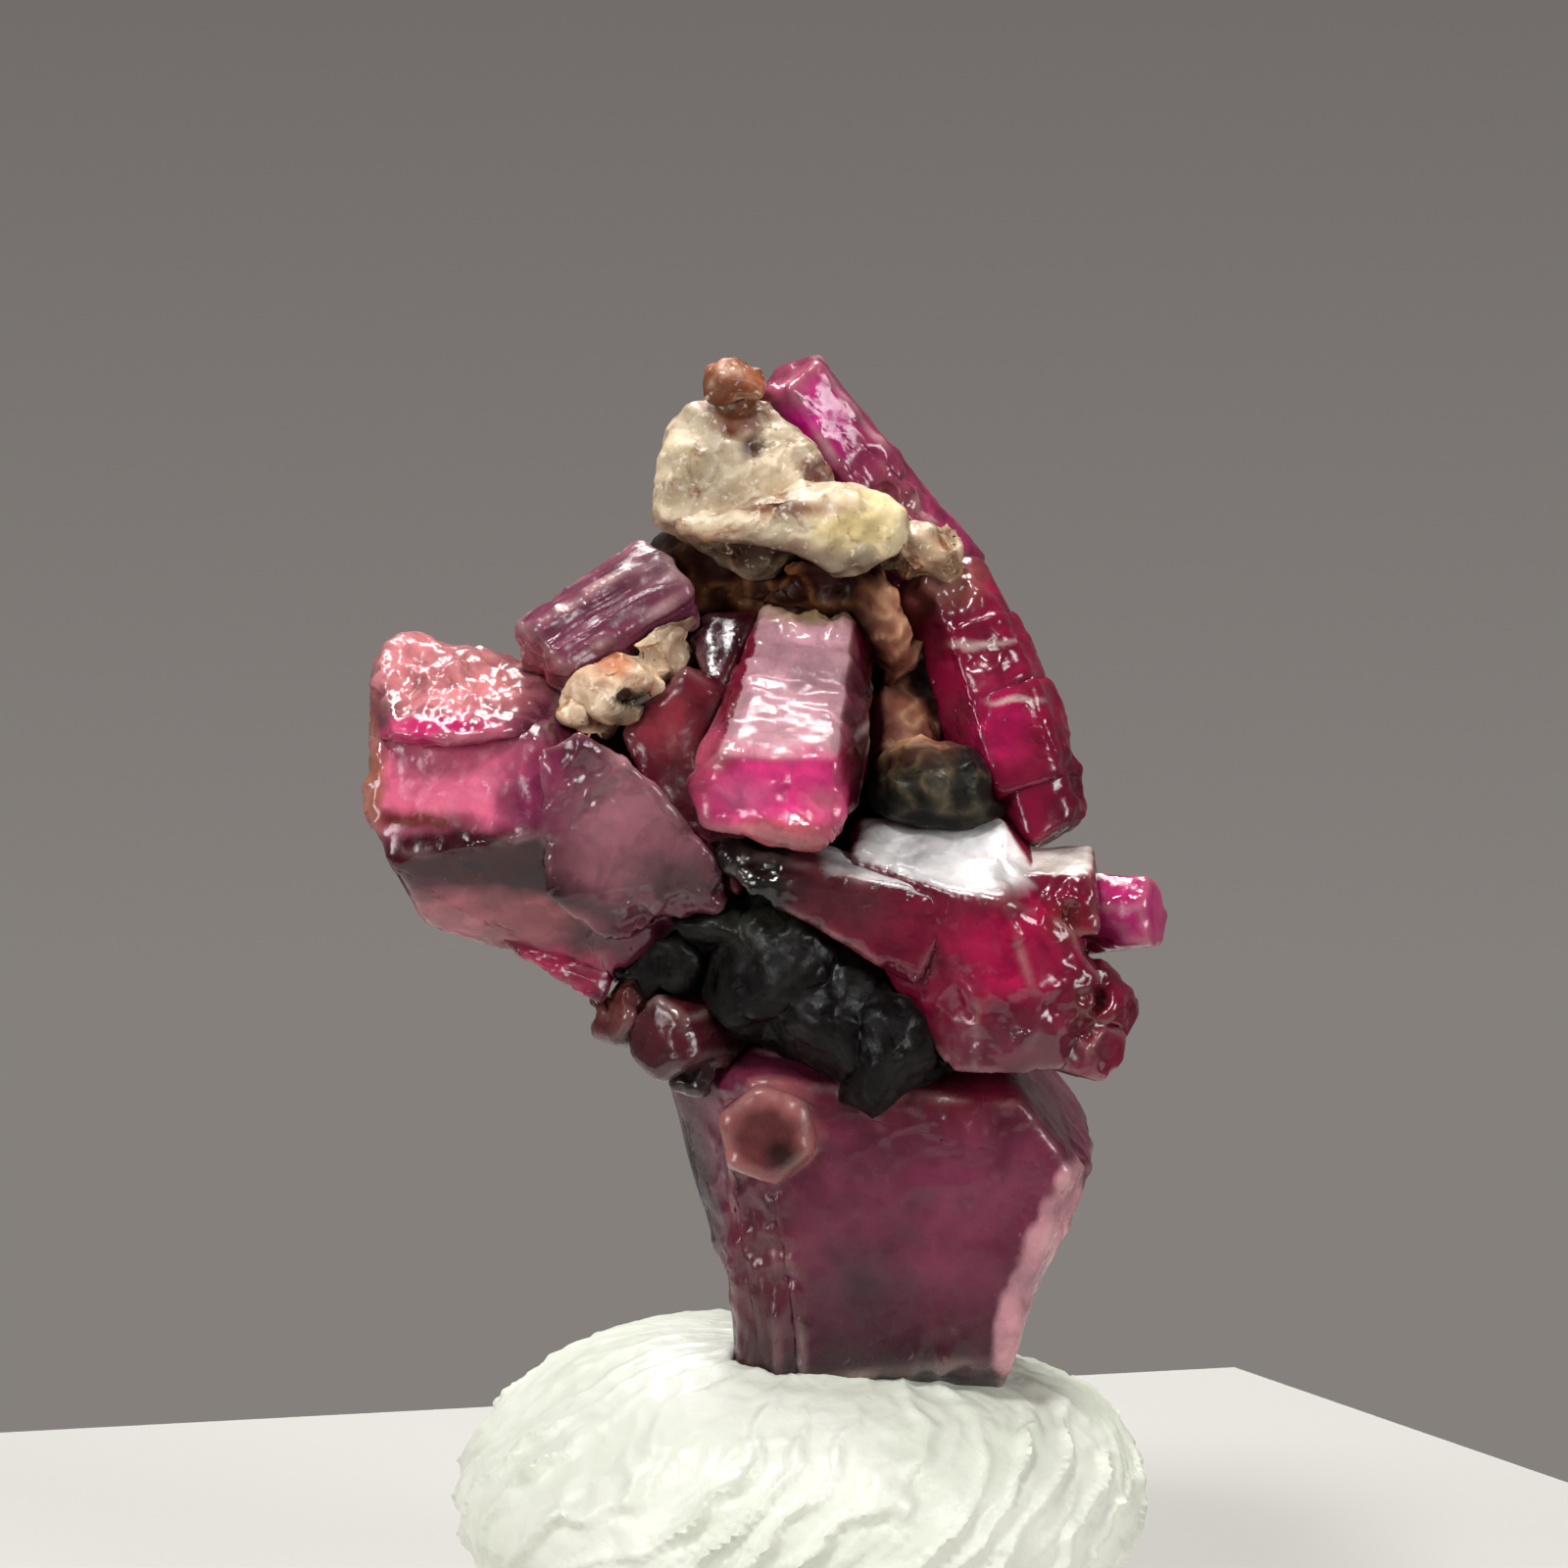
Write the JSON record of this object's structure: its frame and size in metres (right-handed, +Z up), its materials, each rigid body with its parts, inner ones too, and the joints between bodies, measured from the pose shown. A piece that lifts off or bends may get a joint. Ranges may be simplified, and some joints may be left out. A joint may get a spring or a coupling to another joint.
{
  "type": "ruby in matrix specimen",
  "caption": "Cluster of pink to purple ruby crystals grown through dark and tan rock, stood upright on a lump of white putty with a flat underside.",
  "frame": {"origin": "centre of the putty's flat underside", "axes": "+Z up, -Y towards the front of the specimen, +X to the right of someone who looks at the front"},
  "size_m": [0.018, 0.0136, 0.0304],
  "materials": {
    "ruby_pink": "glossy, cloudy inside, striated and chipped",
    "ruby_purple": "satin, dusty",
    "ruby_dark": "glossy, dark",
    "dark_rock": "rough rock with a faint glitter",
    "tan_rock": "rough rock with glittering grains",
    "putty": "soft satin putty with twisted ridges"
  },
  "bodies": {
    "root": {"foot_ruby": "ruby_purple", "left_ruby": "ruby_pink", "centre_ruby": "ruby_pink", "inner_ruby": "ruby_dark", "right_ruby": "ruby_pink", "crest_ruby": "ruby_pink", "shoulder_ruby": "ruby_purple", "front_ruby": "ruby_pink", "bud_rubies": "ruby_dark", "dark_rock": "dark_rock", "cap_rock": "tan_rock", "shoulder_rock": "tan_rock", "putty": "putty"}
  },
  "joints": []
}
